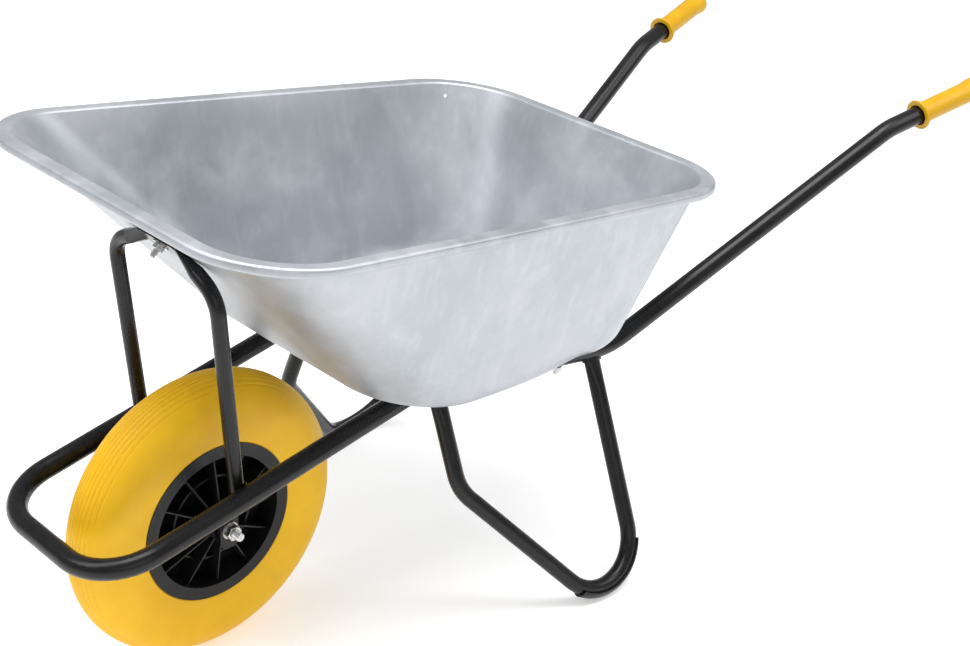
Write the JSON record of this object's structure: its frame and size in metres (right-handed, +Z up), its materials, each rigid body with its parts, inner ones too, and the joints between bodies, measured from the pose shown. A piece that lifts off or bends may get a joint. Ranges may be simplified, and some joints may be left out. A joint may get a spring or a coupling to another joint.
{
  "type": "wheelbarrow",
  "caption": "Wheelbarrow with a deep galvanised sheet pan on a bent tube frame, splayed tube legs, a foam-tyred wheel on ball bearings and sleeve grips.",
  "frame": {"origin": "on the floor, under the middle of the bounding box", "axes": "+X forward towards the wheel, +Y to the left of the person pushing, +Z up"},
  "size_m": [1.5254, 0.6212, 0.69],
  "materials": {
    "black_paint": "glossy black powder coat",
    "galvanised_sheet": "galvanised sheet, faintly mottled",
    "zinc_plate": "bright zinc plating",
    "yellow_plastic": "smooth soft plastic",
    "yellow_foam": "moulded foam with fine grooves",
    "black_plastic": "moulded plastic",
    "bearing_steel": "ground steel"
  },
  "bodies": {
    "frame": {"frame_tube": "black_paint", "left_leg": "black_paint", "right_leg": "black_paint", "left_foot_plate": "black_paint", "right_foot_plate": "black_paint", "leg_welds": "black_paint", "front_brace": "black_paint", "brace_welds": "black_paint", "pan": "galvanised_sheet", "axle_bolt": "zinc_plate", "axle_nut": "zinc_plate", "axle_washers": "zinc_plate", "pan_bolts": "zinc_plate", "pan_washers": "zinc_plate", "pan_nuts": "zinc_plate", "brace_bolt": "zinc_plate", "brace_washer": "zinc_plate", "brace_nut": "zinc_plate", "hub_spacer": "zinc_plate", "left_axle_spacer": "zinc_plate", "right_axle_spacer": "zinc_plate", "left_grip": "yellow_plastic", "right_grip": "yellow_plastic", "left_bearing_inner_ring": "bearing_steel", "right_bearing_inner_ring": "bearing_steel"},
    "wheel": {"tyre": "yellow_foam", "rim": "black_plastic", "left_bearing_outer_ring": "bearing_steel", "right_bearing_outer_ring": "bearing_steel"},
    "left_cage": {"left_bearing_balls": "bearing_steel", "left_bearing_cage": "bearing_steel"},
    "right_cage": {"right_bearing_balls": "bearing_steel", "right_bearing_cage": "bearing_steel"}
  },
  "joints": [
    {"name": "wheel_spin", "type": "hinge", "parent": "frame", "child": "wheel", "pos_m": [0.51793, 0, 0.2], "axis": [0, 1, 0], "continuous": true},
    {"name": "left_cage_spin", "type": "hinge", "parent": "frame", "child": "left_cage", "pos_m": [0.51793, 0.043, 0.2], "axis": [0, 1, 0], "continuous": true},
    {"name": "right_cage_spin", "type": "hinge", "parent": "frame", "child": "right_cage", "pos_m": [0.51793, -0.043, 0.2], "axis": [0, 1, 0], "continuous": true}
  ],
  "couplings": [
    {"joint": "left_cage_spin", "follows": "wheel_spin", "ratio": 0.6352},
    {"joint": "right_cage_spin", "follows": "wheel_spin", "ratio": 0.6352}
  ]
}
